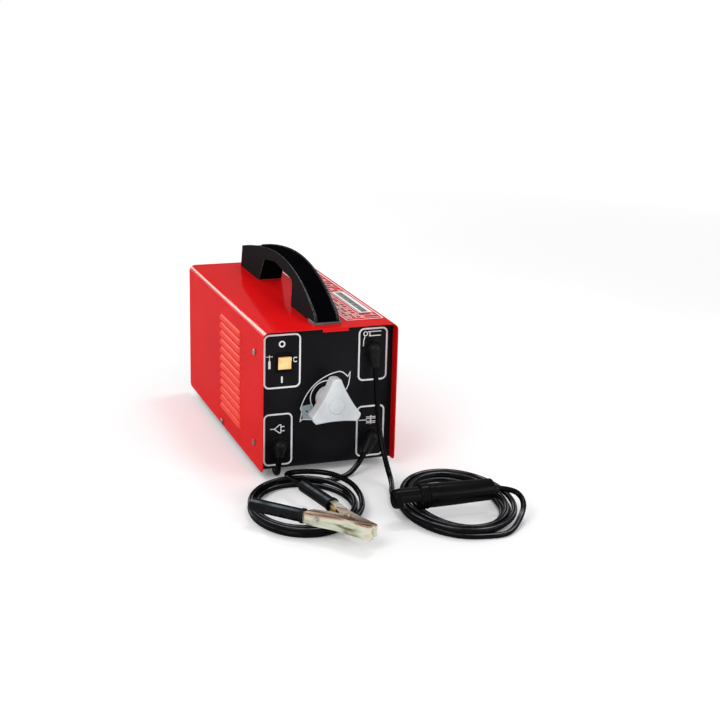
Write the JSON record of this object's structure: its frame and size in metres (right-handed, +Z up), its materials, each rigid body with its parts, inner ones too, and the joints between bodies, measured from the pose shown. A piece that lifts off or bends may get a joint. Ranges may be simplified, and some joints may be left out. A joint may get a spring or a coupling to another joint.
{
  "type": "arc welding machine",
  "caption": "Portable stick arc welding machine: red folded case, black front, three-lobed current knob, carry handle, electrode holder and earth clamp on coiled leads.",
  "frame": {"origin": "centre of the base tray's underside, between the four feet", "axes": "+Z up, +Y towards the rear panel so the front panel faces -Y, +X to the right of someone who faces the front panel"},
  "size_m": [0.3383, 0.8223, 0.2613],
  "materials": {
    "red_paint": "gloss powder coat",
    "black_paint": "satin powder coat",
    "zinc": "yellow zinc plate",
    "steel": "bright steel",
    "lamination": "varnished laminations",
    "copper": "enamelled wire",
    "brass": "turned",
    "black_plastic": "moulded",
    "grey_plastic": "moulded",
    "former_plastic": "moulded",
    "orange_lens": "translucent",
    "clear_plastic": "clear pane",
    "black_rubber": "moulded",
    "cable_rubber": "extruded"
  },
  "bodies": {
    "case": {"cover": "red_paint", "base_tray": "black_paint", "front_panel": "black_paint", "rear_panel": "black_paint", "cover_screws": "steel", "feet": "black_rubber", "foot_screws": "steel", "handle": "black_plastic", "handle_screws": "steel", "scale_window": "clear_plastic", "switch_housing": "black_plastic", "switch_tabs": "brass", "knob_bushing": "brass", "screw_bracket": "zinc", "shunt_guides": "former_plastic", "core": "lamination", "core_brackets": "zinc", "bracket_screws": "steel", "core_bolts": "zinc", "primary_windings": "copper", "secondary_windings": "copper", "winding_formers": "former_plastic", "thermostat": "black_plastic", "output_wires": "cable_rubber", "mains_wires": "cable_rubber", "mains_gland": "black_rubber", "earth_gland": "black_rubber", "electrode_gland": "black_rubber", "mains_lead": "cable_rubber", "mains_coil": "cable_rubber", "mains_tail": "cable_rubber", "mains_plug": "black_plastic", "plug_pins": "steel", "earth_lead": "cable_rubber", "earth_coil": "cable_rubber", "earth_tail": "cable_rubber", "clamp_arm_lead": "zinc", "clamp_sleeve_lead": "black_plastic", "clamp_pin": "zinc", "clamp_spring": "steel", "clamp_lug": "brass", "electrode_lead": "cable_rubber", "electrode_coil": "cable_rubber", "electrode_tail": "cable_rubber", "holder_head": "black_plastic", "holder_contact": "brass", "holder_core": "brass", "holder_boot": "black_rubber"},
    "rocker": {"switch_rocker": "orange_lens"},
    "knob": {"knob": "grey_plastic", "knob_cap": "grey_plastic", "lead_screw": "steel"},
    "shunt": {"shunt_block": "lamination", "shunt_nut": "brass", "shunt_pointer": "zinc"},
    "clamp_moving": {"clamp_arm_moving": "zinc", "clamp_sleeve_moving": "black_plastic"},
    "grip": {"holder_grip": "black_plastic"},
    "plunger": {"holder_plunger": "brass"}
  },
  "joints": [
    {"name": "switch_rock", "type": "hinge", "parent": "case", "child": "rocker", "pos_m": [-0.0588, -0.182, 0.1445], "axis": [1, 0, 0], "range_deg": [-18, 0]},
    {"name": "knob_spin", "type": "hinge", "parent": "case", "child": "knob", "pos_m": [0, -0.183, 0.0925], "axis": [0, 1, 0], "range_deg": [0, 2881]},
    {"name": "shunt_travel", "type": "slide", "parent": "case", "child": "shunt", "axis": [0, -1, 0], "range_m": [0, 0.08]},
    {"name": "clamp_jaw", "type": "hinge", "parent": "case", "child": "clamp_moving", "pos_m": [-0.0497, -0.4057, 0.0128], "axis": [0, 0, -1], "range_deg": [0, 24], "stiffness_Nm_per_rad": 0.6, "springref_deg": -20.05},
    {"name": "holder_twist", "type": "hinge", "parent": "case", "child": "grip", "pos_m": [0.0215, -0.3725, 0.0192], "axis": [0.9997, -0.0262, 0], "range_deg": [0, 180.4]},
    {"name": "plunger_slide", "type": "slide", "parent": "case", "child": "plunger", "axis": [-0.9997, 0.0262, 0], "range_m": [0, 0.005]}
  ],
  "couplings": [
    {"joint": "knob_spin", "follows": "shunt_travel", "rad_per_m": 628.32},
    {"joint": "holder_twist", "follows": "plunger_slide", "rad_per_m": 628.32}
  ]
}
